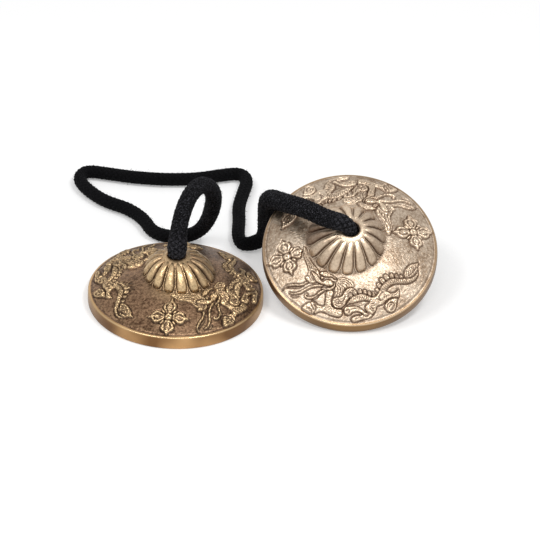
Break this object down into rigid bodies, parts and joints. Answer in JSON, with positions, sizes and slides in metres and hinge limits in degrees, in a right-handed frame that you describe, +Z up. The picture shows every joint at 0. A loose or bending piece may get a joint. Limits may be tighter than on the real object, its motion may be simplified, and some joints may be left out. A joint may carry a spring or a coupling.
{
  "type": "tingsha cymbals",
  "caption": "Pair of cast bronze meditation cymbals with fluted bosses and raised ornament, joined by one soft braided cord and rung edge to edge.",
  "frame": {"origin": "middle of the two cymbals' bounding box, at table level", "axes": "+X from the flat left cymbal towards the leaning right cymbal, +Y away from the viewer, +Z up"},
  "size_m": [0.1385, 0.1212, 0.042],
  "materials": {
    "left_bronze": "cast, dark patina in the recesses, rim polished",
    "right_bronze": "cast, lightly patinated, rim polished",
    "black_cord": "soft round braid"
  },
  "bodies": {
    "cord": {"cord": "black_cord", "left_knot": "black_cord", "right_knot": "black_cord"},
    "left_cymbal": {"left_cymbal": "left_bronze"},
    "right_cymbal": {"right_cymbal": "right_bronze"}
  },
  "joints": [
    {"name": "left_turn", "type": "hinge", "parent": "cord", "child": "left_cymbal", "pos_m": [-0.032, -0.00397, 0], "axis": [0, 0, 1], "continuous": true},
    {"name": "right_turn", "type": "hinge", "parent": "cord", "child": "right_cymbal", "pos_m": [0.032, 0.00749, 0.0147], "axis": [0, -0.4524, 0.8918], "continuous": true}
  ]
}
